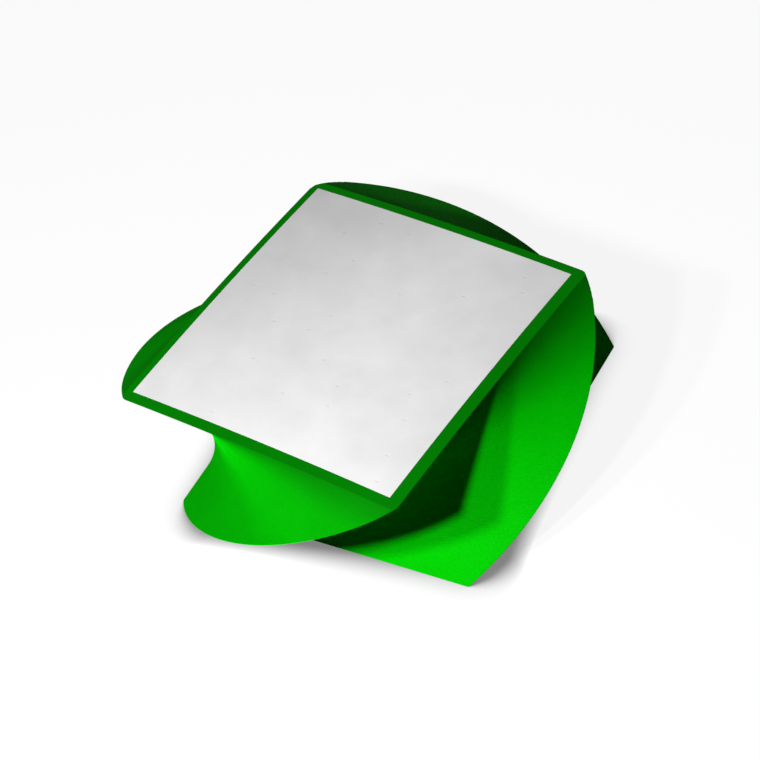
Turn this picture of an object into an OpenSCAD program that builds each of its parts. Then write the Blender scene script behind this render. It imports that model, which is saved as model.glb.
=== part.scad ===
// A twisted memo pad. Square sheets are glued up as a low block, each sheet
// turned a little more than the one below it about one upright axis, so the
// four sides of the block wind up in a spiral and its corners become fins.
// The frame: +Z up, the origin in the middle of the bottom sheet's underside,
// X and Y along the bottom sheet's sides. All sizes are in millimetres.

/* [Sheet] */
// Side of one square sheet
sheet_side = 90; // [60:1:150]

/* [Pad] */
// Height of the pad in the middle of its top sheet
pad_height = 47; // [15:1:120]
// How far the corners of the top sheet hang below its middle
corner_sag = 2; // [0:0.1:6]

/* [Twist] */
// Turn of the top sheet against the bottom one, counter-clockwise from above
twist_angle = 83.5; // [-120:0.5:120]
// Share by which the turn is slower at the base and quicker at the top
twist_ease = 0.18; // [-0.5:0.01:0.5]
// Place of the upright turning axis, along X from the bottom sheet's middle
axis_x = 5.6; // [-20:0.1:20]
// Place of the upright turning axis, along Y from the bottom sheet's middle
axis_y = -4.1; // [-20:0.1:20]

/* [Hidden] */

// Fineness of the mesh: levels up the pad, steps along a side of a sheet, and
// rings from the edge of the top sheet to its middle
levels = 56;
side_steps = 8;
top_rings = 5;

turning_axis = [axis_x, axis_y];
corner_reach = norm([sheet_side / 2, sheet_side / 2]);

function turned(p, a) = [p.x * cos(a) - p.y * sin(a), p.x * sin(a) + p.y * cos(a)];

// The outline of one sheet, in steps along each of its four sides
outline = [
    for (side = [0 : 3]) for (i = [0 : side_steps - 1])
        turned([sheet_side / 2, sheet_side * (i / side_steps - 1 / 2)], 90 * side)
];
ring_size = len(outline);

// Turn of the sheet at level t, which runs from 0 at the base to 1 at the top
function sheet_turn(t) = twist_angle * (t - twist_ease * t * (1 - t));

// Height of a sheet at its own point p: lowest at the corners, flat at the base
function sheet_height(p, t) = t * (pad_height - corner_sag * pow(norm(p) / corner_reach, 2));

// The point p of the sheet at level t, where it lies in the pad
function in_pad(p, t) =
    let (q = turning_axis + turned(p - turning_axis, sheet_turn(t)))
    [q.x, q.y, sheet_height(p, t)];

// The rings that wrap the sides from the base up, then those that close in
// over the top sheet, and the middles of the two end sheets
side_rings = [for (i = [0 : levels]) for (p = outline) in_pad(p, i / levels)];
top_sheet_rings = [for (i = [1 : top_rings - 1]) for (p = outline) in_pad(p * (1 - i / top_rings), 1)];
pad_points = concat(side_rings, top_sheet_rings, [in_pad([0, 0], 1), in_pad([0, 0], 0)]);
last_ring = levels + top_rings - 1;
top_middle = len(pad_points) - 2;
base_middle = len(pad_points) - 1;

function at(ring, k) = ring * ring_size + k % ring_size;

base_faces = [for (k = [0 : ring_size - 1]) [at(0, k), at(0, k + 1), base_middle]];
lower_halves = [
    for (ring = [0 : last_ring - 1]) for (k = [0 : ring_size - 1])
        [at(ring, k), at(ring + 1, k + 1), at(ring, k + 1)]
];
upper_halves = [
    for (ring = [0 : last_ring - 1]) for (k = [0 : ring_size - 1])
        [at(ring, k), at(ring + 1, k), at(ring + 1, k + 1)]
];
top_faces = [for (k = [0 : ring_size - 1]) [at(last_ring, k + 1), at(last_ring, k), top_middle]];

// The whole pad of glued sheets, as one swept solid
module sheet_stack() {
    color([0.0, 0.62, 0.04])
        polyhedron(
            points = pad_points,
            faces = concat(base_faces, lower_halves, upper_halves, top_faces),
            convexity = 8
        );
}

sheet_stack();
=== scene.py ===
# %% [markdown]
# A twisted memo pad
#
# The real thing is a glued pad of square paper sheets. Each sheet lies turned a little more than
# the one below it, so the four sides of the pad wind up in a spiral and its corners become fins.
# The whole pad is one closed solid in the frame. It could be dressed as it is, with a green
# material on its smooth sides. Here it is made again from its sheets instead, because the cut
# edges and the thin ledges between them give the sides their look in the light.

# %% Load the frame
import math
import random

import bpy
import numpy as np
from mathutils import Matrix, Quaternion, Vector


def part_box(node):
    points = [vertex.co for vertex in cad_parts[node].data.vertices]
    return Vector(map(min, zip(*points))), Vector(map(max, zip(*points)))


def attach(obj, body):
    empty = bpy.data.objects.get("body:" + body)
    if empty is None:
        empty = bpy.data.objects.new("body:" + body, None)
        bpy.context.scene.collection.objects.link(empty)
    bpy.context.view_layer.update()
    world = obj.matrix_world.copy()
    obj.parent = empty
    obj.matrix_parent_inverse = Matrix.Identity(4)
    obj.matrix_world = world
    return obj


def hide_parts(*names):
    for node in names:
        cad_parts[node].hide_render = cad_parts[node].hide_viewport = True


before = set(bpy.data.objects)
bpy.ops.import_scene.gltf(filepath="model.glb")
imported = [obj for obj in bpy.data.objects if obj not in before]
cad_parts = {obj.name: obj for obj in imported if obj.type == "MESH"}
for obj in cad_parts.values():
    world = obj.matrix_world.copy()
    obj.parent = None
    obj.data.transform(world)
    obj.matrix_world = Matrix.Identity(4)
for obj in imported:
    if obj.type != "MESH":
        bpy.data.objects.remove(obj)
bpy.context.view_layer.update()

pad_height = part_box("sheet_stack")[1].z
print("pad height in mm:", round(1000 * pad_height, 2))

# %% [markdown]
# First come the measures of the pad, because the lamps are placed from one of its corners. The
# sheets turn about one upright axis that doesn't pass through their middles, so the middles wander
# a little too. The turn is slower at the base and quicker at the top. The free corners hang: a
# sheet at the top is two millimetres lower at its corners than in its middle, and the bottom sheet
# lies flat. One function holds all of this. It takes points of a flat sheet and gives their places
# in the pad. A twist modifier could turn the sheets too, but only evenly and about their middles.

# %% The sheet, the twist and the sag
SHEET_SIDE = 0.090
HALF_SIDE = SHEET_SIDE / 2
TURNING_AXIS = np.array([0.0056, -0.0041])
TWIST_ANGLE = math.radians(83.5)
TWIST_EASE = 0.18
CORNER_SAG = 0.002
CORNER_REACH = HALF_SIDE * math.sqrt(2)


def sheet_turn(level):
    """How far a sheet is turned. The level is 0 at the base and 1 at the top."""
    return TWIST_ANGLE * (level - TWIST_EASE * level * (1 - level))


def in_pad(own, level, slip=(0.0, 0.0)):
    """Places in the pad of a flat sheet's own points, which already have their height."""
    reach = np.hypot(own[:, 0], own[:, 1]) / CORNER_REACH
    height = own[:, 2] * (1 - CORNER_SAG / pad_height * reach**2)
    turn = sheet_turn(level)
    arm = own[:, :2] - TURNING_AXIS + np.array(slip)
    along_x = math.cos(turn) * arm[:, 0] - math.sin(turn) * arm[:, 1]
    along_y = math.sin(turn) * arm[:, 0] + math.cos(turn) * arm[:, 1]
    return np.column_stack([TURNING_AXIS[0] + along_x, TURNING_AXIS[1] + along_y, height])


near_corner = Vector(in_pad(np.array([[-HALF_SIDE, -HALF_SIDE, pad_height]]), 1.0)[0])
print("near corner of the top sheet in mm:", [round(1000 * c, 1) for c in near_corner])

# %% [markdown]
# The camera stands where the photograph's camera stood. It looks down at 45 degrees on one corner
# of the top sheet, through a long lens, and it leans a little to the left. It could be moved and
# turned by hand until it looks right, but a direction, a distance and a lean are easier to change.
# A camera looks along its own -Z, so the direction back towards the camera is the Z axis to turn
# it to, and the lean is a further turn about that axis.

# %% A helper for directions
def towards(azimuth, elevation):
    """The direction in which something stands, in degrees: azimuth 0 is -Y, and 90 is +X."""
    around = math.radians(azimuth)
    up = math.radians(elevation)
    return Vector((math.sin(around) * math.cos(up), -math.cos(around) * math.cos(up), math.sin(up)))


# %% The camera
AIM = Vector((0.0027, -0.0061, 0.0250))
CAMERA_DISTANCE = 0.6763
CAMERA_AZIMUTH = 40.46
CAMERA_ELEVATION = 45.32
CAMERA_LEAN = -16.40
SENSOR_MM = 36
LENS_MM = 119.4

camera_back = towards(CAMERA_AZIMUTH, CAMERA_ELEVATION)
lean = Quaternion((0, 0, 1), math.radians(CAMERA_LEAN))
bpy.ops.object.camera_add(location=AIM + CAMERA_DISTANCE * camera_back)
camera = bpy.context.object
camera.rotation_mode = "QUATERNION"
camera.rotation_quaternion = camera_back.to_track_quat("Z", "Y") @ lean
camera.data.sensor_width = SENSOR_MM
camera.data.lens = LENS_MM
bpy.context.scene.camera = camera
bpy.context.scene.view_settings.view_transform = "Standard"
print("camera at mm:", [round(1000 * c, 1) for c in camera.location])

# %% [markdown]
# Two small soft lamps stand close by on the pad's front left side, one beside the other. Each
# throws its own shadow of the overhanging near corner on to the side below it, so that shadow has
# a dark core and a half dark border. The lamps are placed from that corner, because a shadow's
# edge moves with its lamp. They stand near, so the far side of the white face gets less light than
# the near side. A large weak lamp stands low behind the pad. It lights the sides that the
# photograph's camera doesn't see, so that they aren't black in other views.

# %% The lamps
LAMPS = {
    "key_lamp": {"azimuth": 1.0, "elevation": 51.4, "distance": 0.45, "size": 0.035, "power": 1.86},
    "side_lamp": {"azimuth": -19.2, "elevation": 48.8, "distance": 0.45, "size": 0.035, "power": 1.44},
    "back_lamp": {"azimuth": 190.0, "elevation": 10.0, "distance": 0.80, "size": 0.300, "power": 0.42},
}
for name, lamp in LAMPS.items():
    lamp_back = towards(lamp["azimuth"], lamp["elevation"])
    bpy.ops.object.light_add(type="AREA", location=near_corner + lamp["distance"] * lamp_back)
    light = bpy.context.object
    light.name = name
    light.rotation_mode = "QUATERNION"
    light.rotation_quaternion = lamp_back.to_track_quat("Z", "Y")
    light.data.shape = "DISK"
    light.data.size = lamp["size"]
    light.data.energy = lamp["power"]
    print(name, "at mm:", [round(1000 * c) for c in light.location])

# %% [markdown]
# The photograph's ground is white, but its shadows are deep, so little light comes from all round.
# One bright world couldn't do both. The world is therefore plain white where the camera looks at
# it, and dim for the light that falls on the pad. A Light Path node tells the two apart. The floor
# needs the same choice, so it is a helper.

# %% A helper that tells what is seen directly
def seen_directly(tree):
    """1 for what the camera, a reflection or a clear piece looks at, 0 for light that falls."""
    path = tree.nodes.new("ShaderNodeLightPath")
    camera_or_glossy = tree.nodes.new("ShaderNodeMath")
    camera_or_glossy.operation = "MAXIMUM"
    any_of_them = tree.nodes.new("ShaderNodeMath")
    any_of_them.operation = "MAXIMUM"
    tree.links.new(path.outputs["Is Camera Ray"], camera_or_glossy.inputs[0])
    tree.links.new(path.outputs["Is Glossy Ray"], camera_or_glossy.inputs[1])
    tree.links.new(camera_or_glossy.outputs[0], any_of_them.inputs[0])
    tree.links.new(path.outputs["Is Transmission Ray"], any_of_them.inputs[1])
    return any_of_them.outputs[0]


# %% The world
AMBIENT = 0.025
WHITE = (1, 1, 1, 1)
world = bpy.data.worlds.new("studio")
bpy.context.scene.world = world
world.use_nodes = True
sky = world.node_tree
sky.nodes.clear()
falling_light = sky.nodes.new("ShaderNodeBackground")
falling_light.inputs["Color"].default_value = WHITE
falling_light.inputs["Strength"].default_value = AMBIENT
white_behind = sky.nodes.new("ShaderNodeBackground")
white_behind.inputs["Color"].default_value = WHITE
choice = sky.nodes.new("ShaderNodeMixShader")
world_output = sky.nodes.new("ShaderNodeOutputWorld")
sky.links.new(seen_directly(sky), choice.inputs["Fac"])
sky.links.new(falling_light.outputs[0], choice.inputs[1])
sky.links.new(white_behind.outputs[0], choice.inputs[2])
sky.links.new(choice.outputs[0], world_output.inputs["Surface"])
print("world light:", AMBIENT)

# %% [markdown]
# The floor is a plain white sheet, far wider than the view. Seen directly it mostly glows, so that
# it is as white as the ground of the photograph, and a small matt share takes the pad's pale
# shadow. For the light that bounces off it, the floor is a dark grey, so that the sides of the pad
# that turn away from the lamps stay dark. In the photograph a soft grey lies close round the foot
# of the pad. A lamp low above would give it only on one side, so an Ambient Occlusion node finds
# where the pad comes close to the floor, and a Map Range node turns that into a shade.

# %% The grey round the foot
FOOT_REACH = 0.008
FOOT_OPEN = 0.5
FOOT_DARKEST = 0.25
floor_paint = bpy.data.materials.new("floor_paint")
floor_paint.use_nodes = True
paint = floor_paint.node_tree
paint.nodes.clear()
foot = paint.nodes.new("ShaderNodeAmbientOcclusion")
foot.inputs["Distance"].default_value = FOOT_REACH
foot_shade = paint.nodes.new("ShaderNodeMapRange")
foot_shade.inputs["From Min"].default_value = FOOT_OPEN
foot_shade.inputs["To Min"].default_value = FOOT_DARKEST
paint.links.new(foot.outputs["AO"], foot_shade.inputs["Value"])
print("foot shade reaches", round(1000 * FOOT_REACH), "mm")

# %% The floor
FLOOR_SIZE = 6.0
FLOOR_BOUNCE = 0.012
FLOOR_GLOW = 0.90
matt = paint.nodes.new("ShaderNodeBsdfDiffuse")
dim = paint.nodes.new("ShaderNodeBsdfDiffuse")
dim.inputs["Color"].default_value = (FLOOR_BOUNCE, FLOOR_BOUNCE, FLOOR_BOUNCE, 1)
glow = paint.nodes.new("ShaderNodeEmission")
pale = paint.nodes.new("ShaderNodeMixShader")
pale.inputs["Fac"].default_value = FLOOR_GLOW
either = paint.nodes.new("ShaderNodeMixShader")
floor_output = paint.nodes.new("ShaderNodeOutputMaterial")
paint.links.new(foot_shade.outputs["Result"], matt.inputs["Color"])
paint.links.new(foot_shade.outputs["Result"], glow.inputs["Color"])
paint.links.new(matt.outputs[0], pale.inputs[1])
paint.links.new(glow.outputs[0], pale.inputs[2])
paint.links.new(seen_directly(paint), either.inputs["Fac"])
paint.links.new(dim.outputs[0], either.inputs[1])
paint.links.new(pale.outputs[0], either.inputs[2])
paint.links.new(either.outputs[0], floor_output.inputs["Surface"])

bpy.ops.mesh.primitive_plane_add(size=FLOOR_SIZE)
floor = bpy.context.object
floor.name = "floor"
floor.data.materials.append(floor_paint)
print("floor:", FLOOR_SIZE, "m wide")

# %% [markdown]
# The finishes are node trees, and most of their nodes are sums and noise. Written out one by one
# they would fill the page, so these small helpers make a node, connect it and give back its
# output. A finish then reads like the sum that it is.

# %% Helpers for node trees
def math_node(tree, operation, first, second=0.0):
    made = tree.nodes.new("ShaderNodeMath")
    made.operation = operation
    for number, value in enumerate((first, second)):
        if isinstance(value, (int, float)):
            made.inputs[number].default_value = value
        else:
            tree.links.new(value, made.inputs[number])
    return made.outputs[0]


def plus(tree, first, second):
    return math_node(tree, "ADD", first, second)


def minus(tree, first, second):
    return math_node(tree, "SUBTRACT", first, second)


def times(tree, first, second):
    return math_node(tree, "MULTIPLY", first, second)


def noise(tree, coordinates, scale, detail, roughness):
    made = tree.nodes.new("ShaderNodeTexNoise")
    made.inputs["Scale"].default_value = scale
    made.inputs["Detail"].default_value = detail
    made.inputs["Roughness"].default_value = roughness
    tree.links.new(coordinates, made.inputs["Vector"])
    return made.outputs["Fac"]


def swing(tree, pattern, strength):
    """A pattern of 0 to 1 as a swing round 0."""
    return times(tree, minus(tree, pattern, 0.5), strength)


def group_socket(tree, name, way, value=0.0):
    made = tree.interface.new_socket(name=name, in_out=way, socket_type="NodeSocketFloat")
    made.default_value = value


# %% [markdown]
# Paper is matt. It has fine fibres, and soft clouds where it took up more damp or more handling. A
# picture of paper could give both, but it would blur close up and repeat. Noise holds at any
# distance. One node group makes both patterns, and each finish places it with its own strengths.
# It puts out a shade that goes round 1, to multiply a colour by, and a height for the bump.

# %% Paper grain as a node group
CLOUD_SCALE = 75
FIBRE_SCALE = 2600
grain = bpy.data.node_groups.new("paper_grain", "ShaderNodeTree")
group_socket(grain, "Clouds", "INPUT", 0.05)
group_socket(grain, "Fibres", "INPUT", 0.03)
group_socket(grain, "Shade", "OUTPUT")
group_socket(grain, "Height", "OUTPUT")
grain_in = grain.nodes.new("NodeGroupInput")
grain_out = grain.nodes.new("NodeGroupOutput")
grain_place = grain.nodes.new("ShaderNodeTexCoord").outputs["Object"]
clouds = noise(grain, grain_place, CLOUD_SCALE, detail=5, roughness=0.55)
fibres = noise(grain, grain_place, FIBRE_SCALE, detail=2, roughness=0.7)
cloud_shade = swing(grain, clouds, grain_in.outputs["Clouds"])
fibre_shade = swing(grain, fibres, grain_in.outputs["Fibres"])
both_shades = plus(grain, cloud_shade, fibre_shade)
grain.links.new(plus(grain, both_shades, 1.0), grain_out.inputs["Shade"])
grain.links.new(fibres, grain_out.inputs["Height"])
print("clouds of", round(1000 / CLOUD_SCALE), "mm, fibres of", round(1000 / FIBRE_SCALE, 1), "mm")

# %% [markdown]
# The green isn't the same all the way up. In the photograph the pad's sides are bright at the base
# and dark under the top sheet, more than the light alone makes them, so each green gets a ramp of
# tones that follows the height in the pad, and its darkening towards the top is painted shade. A
# second node group gives that height, from 0 at the base to 1 at the top. It also gives a faint
# streak from one bunch of sheets to the next, from a noise that only changes with height, because a
# pad is cut and glued in bunches.

# %% Height in the pad as a node group
STREAK_SCALE = 900
pad_level = bpy.data.node_groups.new("pad_level", "ShaderNodeTree")
group_socket(pad_level, "Streaks", "INPUT", 0.08)
group_socket(pad_level, "Level", "OUTPUT")
group_socket(pad_level, "Shade", "OUTPUT")
level_in = pad_level.nodes.new("NodeGroupInput")
level_out = pad_level.nodes.new("NodeGroupOutput")
level_place = pad_level.nodes.new("ShaderNodeTexCoord")
level_split = pad_level.nodes.new("ShaderNodeSeparateXYZ")
height_only = pad_level.nodes.new("ShaderNodeCombineXYZ")
pad_level.links.new(level_place.outputs["Object"], level_split.inputs[0])
pad_level.links.new(level_split.outputs["Z"], height_only.inputs["Z"])
streaks = noise(pad_level, height_only.outputs[0], STREAK_SCALE, detail=3, roughness=0.6)
streak_shade = swing(pad_level, streaks, level_in.outputs["Streaks"])
share_of_height = math_node(pad_level, "DIVIDE", level_split.outputs["Z"], pad_height)
pad_level.links.new(share_of_height, level_out.inputs["Level"])
pad_level.links.new(plus(pad_level, streak_shade, 1.0), level_out.inputs["Shade"])
print("streaks of", round(1000 / STREAK_SCALE, 1), "mm")

# %% [markdown]
# The pad has two finishes, one on the cut edges of its sheets and one on their faces. Both are
# paper: rough, with almost no shine. The helpers here start such a finish, place a node group in
# it, run a level through a ramp of greens, multiply a colour by a shade, and add a bump.

# %% Helpers for the finishes
PAPER_SHINE = 0.03


def new_finish(name, roughness):
    material = bpy.data.materials.new(name)
    material.use_nodes = True
    shader = material.node_tree.nodes["Principled BSDF"]
    shader.inputs["Roughness"].default_value = roughness
    shader.inputs["Specular IOR Level"].default_value = PAPER_SHINE
    return material, material.node_tree, shader


def place_group(tree, group, **values):
    made = tree.nodes.new("ShaderNodeGroup")
    made.node_tree = group
    for name, value in values.items():
        made.inputs[name].default_value = value
    return made


def green_and_shade_ramp(tree, level, tones):
    """Greens that follow a level; their tones, given as level: tone, hold painted shade."""
    ramp = tree.nodes.new("ShaderNodeValToRGB")
    stops = ramp.color_ramp.elements
    while len(stops) < len(tones):
        stops.new(0.5)
    for stop, (height, tone) in zip(stops, sorted(tones.items())):
        stop.position = height
        stop.color = (0, tone, 0, 1)
    tree.links.new(level, ramp.inputs["Fac"])
    return ramp.outputs["Color"]


def shaded(tree, colour, shade):
    made = tree.nodes.new("ShaderNodeVectorMath")
    made.operation = "SCALE"
    tree.links.new(colour, made.inputs[0])
    tree.links.new(shade, made.inputs["Scale"])
    return made.outputs[0]


def add_bump(tree, shader, height):
    """Bump from a height in metres."""
    bump = tree.nodes.new("ShaderNodeBump")
    bump.inputs["Distance"].default_value = 1.0
    tree.links.new(height, bump.inputs["Height"])
    tree.links.new(bump.outputs["Normal"], shader.inputs["Normal"])


# %% [markdown]
# The cut edges are a pure bright green, because ink soaks into them. They could be one flat
# colour, but then a side of the pad looks like plastic. The ramp gives the fall of tone towards
# the top, which is painted shade under the top sheet, the streaks part the sheets, and a bump of a
# few thousandths of a millimetre roughens them like sawn fibre.

# %% The cut edges
EDGE_ROUGHNESS = 0.8
EDGE_FIBRE = 0.000004
# The tones darken towards the top: painted shade under the top sheet.
EDGE_GREENS_AND_PAINTED_SHADE = {0.0: 0.83, 0.12: 0.91, 0.25: 0.97, 0.70: 0.97, 0.85: 0.59, 0.96: 0.29, 1.0: 0.27}
cut_edge, tree, shader = new_finish("green_cut_edge", EDGE_ROUGHNESS)
edge_grain = place_group(tree, grain, Clouds=0.06, Fibres=0.04)
edge_level = place_group(tree, pad_level, Streaks=0.08)
edge_green_and_shade = green_and_shade_ramp(tree, edge_level.outputs["Level"], EDGE_GREENS_AND_PAINTED_SHADE)
edge_shade = times(tree, edge_grain.outputs["Shade"], edge_level.outputs["Shade"])
tree.links.new(shaded(tree, edge_green_and_shade, edge_shade), shader.inputs["Base Color"])
add_bump(tree, shader, times(tree, edge_grain.outputs["Height"], EDGE_FIBRE))
print("cut edge green:", EDGE_GREENS_AND_PAINTED_SHADE)

# %% [markdown]
# The face of a sheet is white paper inside a green printed margin. The ledges between the sheets
# show only that margin, and on the top sheet it frames the writing face. It could be a strip of
# faces of its own, but the map of the sheet can place it without any: the map runs from 0 to 1
# along the sides and turns with the sheet. The mask is 1 inside the margin and 0 on it. The print
# isn't quite even, so each side has its own width. The sides are named as on the flat sheet.

# %% The printed margin
FACE_ROUGHNESS = 0.7
MARGINS = {"left": 0.0031, "right": 0.0026, "near": 0.0036, "far": 0.0022}
printed_face, tree, shader = new_finish("printed_sheet_face", FACE_ROUGHNESS)
sheet_map = tree.nodes.new("ShaderNodeUVMap")
sheet_map.uv_map = "UVMap"
map_split = tree.nodes.new("ShaderNodeSeparateXYZ")
tree.links.new(sheet_map.outputs["UV"], map_split.inputs[0])
across = map_split.outputs["X"]
along = map_split.outputs["Y"]
inside_left = math_node(tree, "GREATER_THAN", across, MARGINS["left"] / SHEET_SIDE)
inside_right = math_node(tree, "LESS_THAN", across, 1 - MARGINS["right"] / SHEET_SIDE)
inside_near = math_node(tree, "GREATER_THAN", along, MARGINS["near"] / SHEET_SIDE)
inside_far = math_node(tree, "LESS_THAN", along, 1 - MARGINS["far"] / SHEET_SIDE)
inside_across = times(tree, inside_left, inside_right)
inside_along = times(tree, inside_near, inside_far)
inside = times(tree, inside_across, inside_along)
print("margins in mm:", {side: round(1000 * width, 1) for side, width in MARGINS.items()})

# %% [markdown]
# The green of the margin is duller than that of a cut edge, because ink lies thin on a face. It has
# its own ramp, which also darkens it towards the top as painted shade. The white paper isn't one
# clean white either: it is greyer towards its two far corners, and that grey is painted shade. That
# is a plain sum on the map, which grows across the sheet and to both sides of one line along it.

# %% Ink and painted shade on the paper
# The print tones darken towards the top too: painted shade under the top sheet.
PRINT_GREENS_AND_PAINTED_SHADE = {0.0: 0.39, 0.25: 0.31, 0.45: 0.285, 0.70: 0.28, 0.85: 0.25, 0.92: 0.18, 0.98: 0.150}
LEAST_SHADED_ALONG = 0.35
SHADE_ACROSS_OFFSET = 0.45
FAR_CORNER_PAINTED_SHADE = 0.26
face_grain = place_group(tree, grain, Clouds=0.26, Fibres=0.03)
face_level = place_group(tree, pad_level)
ink_green_and_shade = green_and_shade_ramp(tree, face_level.outputs["Level"], PRINT_GREENS_AND_PAINTED_SHADE)
# Painted shade: the paper greys towards its two far corners.
from_least_shaded = math_node(tree, "ABSOLUTE", minus(tree, along, LEAST_SHADED_ALONG))
far_corner_shade = times(tree, plus(tree, across, SHADE_ACROSS_OFFSET), from_least_shaded)
painted_far_corner_shade = minus(tree, 1.0, times(tree, far_corner_shade, FAR_CORNER_PAINTED_SHADE))
print("printed green:", PRINT_GREENS_AND_PAINTED_SHADE)

# %% [markdown]
# The paper also has a few short nicks. A Voronoi texture scatters them: it divides the sheet into
# cells with one point in each, and gives the distance from that point. A Map Range node turns the
# nearest part of that distance into a small dent, which is also greyed a little as painted shade.
# The map is stretched first, with more cells across the sheet than along it, so that a dent comes
# out longer than it is wide. Each cell also has a random colour, and only the cells where that is
# high enough get a nick.

# %% Nicks in the paper
CELLS_ACROSS = 13
CELLS_ALONG = 6
NICK_REACH = 0.055
NICK_SHARE = 0.35
NICK_PAINTED_SHADE = 0.10
stretched_map = tree.nodes.new("ShaderNodeVectorMath")
stretched_map.operation = "MULTIPLY"
stretched_map.inputs[1].default_value = (CELLS_ACROSS, CELLS_ALONG, 1)
nick_cells = tree.nodes.new("ShaderNodeTexVoronoi")
nick_cells.voronoi_dimensions = "2D"
nick_cells.inputs["Scale"].default_value = 1.0
nick_shape = tree.nodes.new("ShaderNodeMapRange")
nick_shape.inputs["From Max"].default_value = NICK_REACH
nick_shape.inputs["To Min"].default_value = 1.0
nick_shape.inputs["To Max"].default_value = 0.0
cell_chance = tree.nodes.new("ShaderNodeSeparateXYZ")
tree.links.new(sheet_map.outputs["UV"], stretched_map.inputs[0])
tree.links.new(stretched_map.outputs[0], nick_cells.inputs["Vector"])
tree.links.new(nick_cells.outputs["Distance"], nick_shape.inputs["Value"])
tree.links.new(nick_cells.outputs["Color"], cell_chance.inputs[0])
chosen_cells = math_node(tree, "GREATER_THAN", cell_chance.outputs["X"], 1 - NICK_SHARE)
nicks = times(tree, nick_shape.outputs["Result"], chosen_cells)
# Painted shade in the nicks: the paper is greyed a little where they are.
nick_painted_shade = minus(tree, 1.0, times(tree, nicks, NICK_PAINTED_SHADE))
print("nicks up to", round(2000 * NICK_REACH * SHEET_SIDE / CELLS_ALONG, 1), "mm long")

# %% [markdown]
# The knife that trims a pad rolls the rim of each sheet over a little. So each ledge between the
# sheets leans outward, and the near sides of the pad catch more of the lamps than the far sides
# do. The rim could be a bevel, but on 450 sheets that adds many faces. A bump does the same: its
# height falls away over the last fifth of a millimetre. The nicks and the fibres are in the same
# bump.

# %% The rolled rim
RIM_WIDTH = 0.0002
RIM_SLOPE = math.tan(math.radians(35))
NICK_DEPTH = 0.00006
FACE_FIBRE = 0.000003
across_to_rim = math_node(tree, "MINIMUM", across, minus(tree, 1.0, across))
along_to_rim = math_node(tree, "MINIMUM", along, minus(tree, 1.0, along))
share_to_rim = math_node(tree, "MINIMUM", across_to_rim, along_to_rim)
to_rim = times(tree, share_to_rim, SHEET_SIDE)
rim_height = times(tree, math_node(tree, "MINIMUM", to_rim, RIM_WIDTH), RIM_SLOPE)
nick_depth = times(tree, times(tree, nicks, inside), NICK_DEPTH)
fibre_height = times(tree, face_grain.outputs["Height"], FACE_FIBRE)
add_bump(tree, shader, plus(tree, minus(tree, fibre_height, nick_depth), rim_height))
print("rolled rim:", round(1000 * RIM_WIDTH, 1), "mm wide")

# %% [markdown]
# Last, the colour of the face: the mask chooses between the green and the white, the white carries
# the painted shade of its far corners and of its nicks, and the clouds and fibres lie over both.

# %% The colour of the face
PAPER_WHITE = (0.70, 0.70, 0.70)
paper = tree.nodes.new("ShaderNodeVectorMath")
paper.operation = "SCALE"
paper.inputs[0].default_value = PAPER_WHITE
tree.links.new(times(tree, painted_far_corner_shade, nick_painted_shade), paper.inputs["Scale"])
ink_or_paper = tree.nodes.new("ShaderNodeMix")
ink_or_paper.data_type = "RGBA"
tree.links.new(inside, ink_or_paper.inputs["Factor"])
tree.links.new(ink_green_and_shade, ink_or_paper.inputs["A"])
tree.links.new(paper.outputs[0], ink_or_paper.inputs["B"])
face_colour = shaded(tree, ink_or_paper.outputs["Result"], face_grain.outputs["Shade"])
tree.links.new(face_colour, shader.inputs["Base Color"])
print("paper white:", PAPER_WHITE)

# %% [markdown]
# One sheet is a flat plane, cut into squares so that it can bend. Its corners are rounded off with
# a vertex bevel, and a paper's thickness is pulled up out of it. A flat box could be a sheet too,
# but a box has a map on all six sides, and the plane's own map stays on the two faces alone and
# places the printed margin. The sheets near the top have rounder corners than the rest, because
# hands wear them, and one corner is worn most.

# %% A helper that rounds corners
CUT_STEPS = 3
CORNER_SLACK = 0.00005


def round_corners(sheet, at_far_right, cut):
    """Bevels the far right corner of the flat plane, or else its three others."""
    bpy.ops.object.mode_set(mode="OBJECT")
    for point in sheet.data.vertices:
        is_corner = abs(point.co.x) + abs(point.co.y) > SHEET_SIDE - CORNER_SLACK
        is_far_right = point.co.x + point.co.y > HALF_SIDE
        point.select = is_corner and is_far_right == at_far_right
    bpy.ops.object.mode_set(mode="EDIT")
    bpy.ops.mesh.select_mode(type="VERT")
    bpy.ops.mesh.bevel(offset=cut, segments=CUT_STEPS, affect="VERTICES")
    bpy.ops.mesh.select_all(action="DESELECT")


# %% A helper that makes a sheet
SHEETS = 450
PITCH = pad_height / SHEETS
PAPER = 0.97 * PITCH
SHARP_CUT = 0.0005
WORN_CUT = 0.0018
MOST_WORN_CUT = 0.0035


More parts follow.
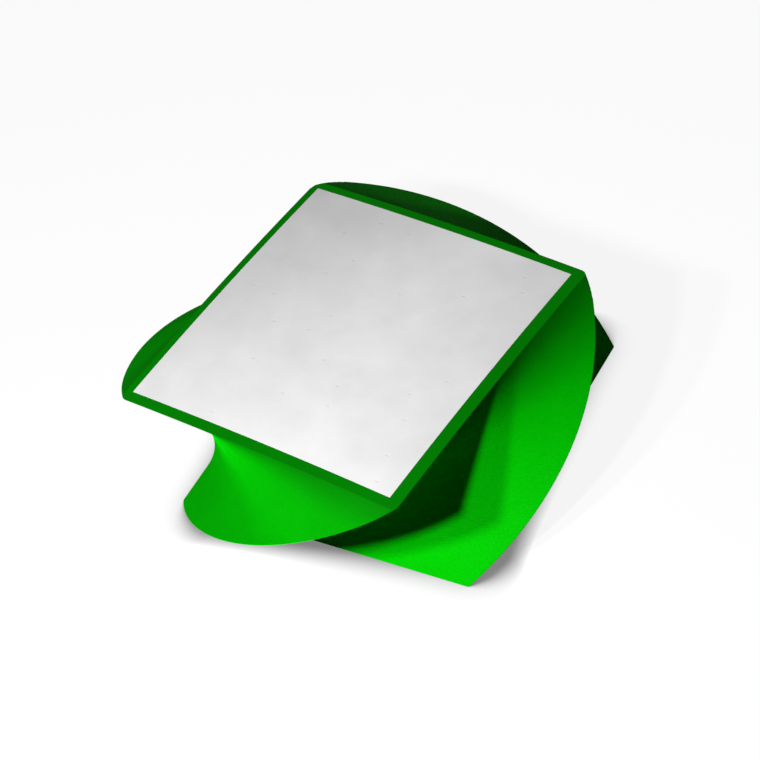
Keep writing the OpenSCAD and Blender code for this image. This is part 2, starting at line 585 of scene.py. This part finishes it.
def new_sheet(name, squares, wear):
    """A flat sheet round the origin, its underside at height 0. Wear goes from 0 to 1."""
    bpy.ops.object.select_all(action="DESELECT")
    bpy.ops.mesh.primitive_plane_add(size=SHEET_SIDE)
    sheet = bpy.context.object
    sheet.name = name
    bpy.ops.object.mode_set(mode="EDIT")
    bpy.ops.mesh.subdivide(number_cuts=squares - 1)
    bpy.ops.mesh.select_all(action="DESELECT")
    round_corners(sheet, False, SHARP_CUT + wear * (WORN_CUT - SHARP_CUT))
    round_corners(sheet, True, SHARP_CUT + wear * (MOST_WORN_CUT - SHARP_CUT))
    bpy.ops.mesh.select_all(action="SELECT")
    bpy.ops.mesh.extrude_region_move(TRANSFORM_OT_translate={"value": (0, 0, PAPER)})
    bpy.ops.mesh.select_all(action="SELECT")
    bpy.ops.mesh.normals_make_consistent(inside=False)
    bpy.ops.object.mode_set(mode="OBJECT")
    sheet.data.materials.append(printed_face)
    sheet.data.materials.append(cut_edge)
    for face in sheet.data.polygons:
        looks_up_or_down = abs(face.normal.z) > 0.5
        face.material_index = 0 if looks_up_or_down else 1
    return sheet


# %% One sheet for each degree of wear
SQUARES = 4
WEAR_STEPS = 8
leaves = []
for step in range(WEAR_STEPS + 1):
    leaves.append(new_sheet("leaf_" + str(step), SQUARES, step / WEAR_STEPS))
print("one sheet:", len(leaves[0].data.polygons), "faces,", round(1e6 * PAPER), "micrometres thick")

# %% [markdown]
# The stack is every sheet but the top one. Each is a copy of one of the leaves with its own mesh,
# whose points are moved to their place in the pad. No stack is perfectly even, so each sheet also
# slips by a few hundredths of a millimetre. The copies are then joined into one piece, because the
# pad is glued. An array modifier could repeat a sheet too, but not with a turn that changes its
# speed on the way up.

# %% A helper that lays a sheet in the pad
def lay_in_pad(sheet, number, slip=(0.0, 0.0)):
    """Moves a flat sheet's points to its place in the pad, counted from 0 at the base."""
    own = np.empty(3 * len(sheet.data.vertices))
    sheet.data.vertices.foreach_get("co", own)
    own = own.reshape(-1, 3)
    own[:, 2] += number * PITCH
    placed = in_pad(own, (number + 0.5) / SHEETS, slip)
    sheet.data.vertices.foreach_set("co", placed.ravel())
    sheet.data.update()


# %% The sheets of the stack
SLIP = 0.00002
SLIP_SEED = 11
WORN_SHEETS = 40
chance = random.Random(SLIP_SEED)
copies = []
for number in range(SHEETS - 1):
    wear = max(0.0, 1 - (SHEETS - 1 - number) / WORN_SHEETS)
    copy = leaves[round(wear**2 * WEAR_STEPS)].copy()
    copy.data = copy.data.copy()
    bpy.context.collection.objects.link(copy)
    slip = (chance.uniform(-SLIP, SLIP), chance.uniform(-SLIP, SLIP))
    lay_in_pad(copy, number, slip)
    copies.append(copy)
for leaf in leaves:
    bpy.data.objects.remove(leaf)
print("sheets in the stack:", len(copies))

# %% The stack as one piece
bpy.ops.object.select_all(action="DESELECT")
for copy in copies:
    copy.select_set(True)
bpy.context.view_layer.objects.active = copies[0]
bpy.ops.object.join()
stack = bpy.context.object
stack.name = "stack_of_sheets"
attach(stack, "root")
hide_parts("sheet_stack")
print("stack:", len(stack.data.polygons), "faces")

# %% [markdown]
# The top sheet is the white writing face. It is a sheet like the others, but it is seen whole, so
# it is cut into more squares and shaded smooth. Smooth shading alone would blend its face into its
# rim and put a dark line there, so edges sharper than a set angle stay sharp. What is printed on
# the real one is left off, and the paper there goes on plain.

# %% The top sheet
TOP_SQUARES = 24
SMOOTH_UP_TO = math.radians(40)
top_sheet = new_sheet("top_sheet", TOP_SQUARES, 1.0)
lay_in_pad(top_sheet, SHEETS - 1)
bpy.ops.object.select_all(action="DESELECT")
top_sheet.select_set(True)
bpy.context.view_layer.objects.active = top_sheet
bpy.ops.object.shade_smooth_by_angle(angle=SMOOTH_UP_TO)
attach(top_sheet, "root")
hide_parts("sheet_stack")
print("top sheet:", len(top_sheet.data.polygons), "faces")
